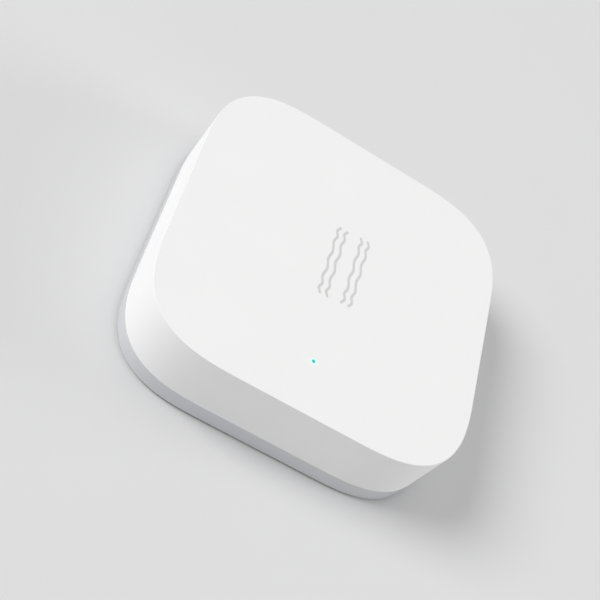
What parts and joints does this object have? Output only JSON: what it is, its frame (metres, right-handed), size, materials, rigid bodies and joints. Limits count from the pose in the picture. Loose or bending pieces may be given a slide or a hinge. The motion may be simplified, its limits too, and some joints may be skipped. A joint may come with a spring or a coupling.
{
  "type": "vibration sensor tag",
  "caption": "Square stick-on vibration sensor tag with soft corners: white shell on a grey base cover, wave mark, status light, side button, coin cell and adhesive pad.",
  "frame": {"origin": "centre of the adhesive pad's underside", "axes": "+Z out of the face, +Y from the status light towards the wave mark, +X to the right of the face, towards the button"},
  "size_m": [0.044, 0.044, 0.0113],
  "materials": {
    "shell_white": "matte white moulded plastic with a very fine texture",
    "mark_grey": "light grey inlay, level with the face",
    "guide_clear": "clear light pipe, lit teal by the lamp below it",
    "button_white": "matte white moulded plastic",
    "base_grey": "smooth light blue-grey moulded plastic",
    "pad_foam": "thin adhesive foam pad",
    "board_green": "glass-fibre board with green solder mask",
    "frame_black": "black moulded plastic",
    "screw_steel": "zinc-plated steel",
    "cell_steel": "nickel-plated steel sheet",
    "gasket_dark": "dark insulating ring",
    "pellet_dark": null,
    "contact_gold": "gold-flashed spring bronze",
    "switch_black": "black moulded switch body",
    "cover_steel": "stamped stainless sheet",
    "plunger_ivory": "ivory moulded plastic",
    "led_clear": "small lamp in clear resin",
    "chip_black": "black moulded chip package",
    "crystal_gold": "metal-lidded crystal package",
    "antenna_ceramic": "pale blue ceramic block",
    "bulk_yellow": "yellow moulded capacitor",
    "capacitor_tan": "tan ceramic with tinned ends",
    "resistor_black": "black film resistor with tinned ends",
    "pad_gold": "gold-plated copper"
  },
  "bodies": {
    "base": {"base_cover": "base_grey", "adhesive_pad": "pad_foam"},
    "sensor": {"front_shell": "shell_white", "vibration_mark": "mark_grey", "light_guide": "guide_clear", "circuit_board": "board_green", "battery_frame": "frame_black", "frame_screws": "screw_steel", "positive_contact": "contact_gold", "negative_contact": "contact_gold", "switch_housing": "switch_black", "switch_cover": "cover_steel", "status_led": "led_clear", "radio_chip": "chip_black", "motion_sensor": "chip_black", "memory_chip": "chip_black", "crystals": "crystal_gold", "chip_antenna": "antenna_ceramic", "bulk_capacitor": "bulk_yellow", "capacitors": "capacitor_tan", "resistors": "resistor_black", "test_pads": "pad_gold"},
    "cell": {"cell_can": "cell_steel", "cell_gasket": "gasket_dark", "cell_cap": "cell_steel", "cell_pellet": "pellet_dark"},
    "button": {"reset_button": "button_white"},
    "plunger": {"switch_plunger": "plunger_ivory"}
  },
  "joints": [
    {"name": "sensor_lift", "type": "slide", "parent": "base", "child": "sensor", "axis": [0, 0, 1], "range_m": [0, 0.03]},
    {"name": "cell_release", "type": "slide", "parent": "sensor", "child": "cell", "axis": [0, 0, -1], "range_m": [0, 0.015]},
    {"name": "button_press", "type": "slide", "parent": "sensor", "child": "button", "axis": [-1, 0, 0], "range_m": [0, 0.00025], "stiffness_N_per_m": 2000, "springref_m": -0.0003},
    {"name": "plunger_press", "type": "slide", "parent": "sensor", "child": "plunger", "axis": [-1, 0, 0], "range_m": [0, 0.00025]}
  ],
  "couplings": [
    {"joint": "cell_release", "follows": "sensor_lift", "ratio": 0.5},
    {"joint": "plunger_press", "follows": "button_press", "ratio": 1}
  ]
}
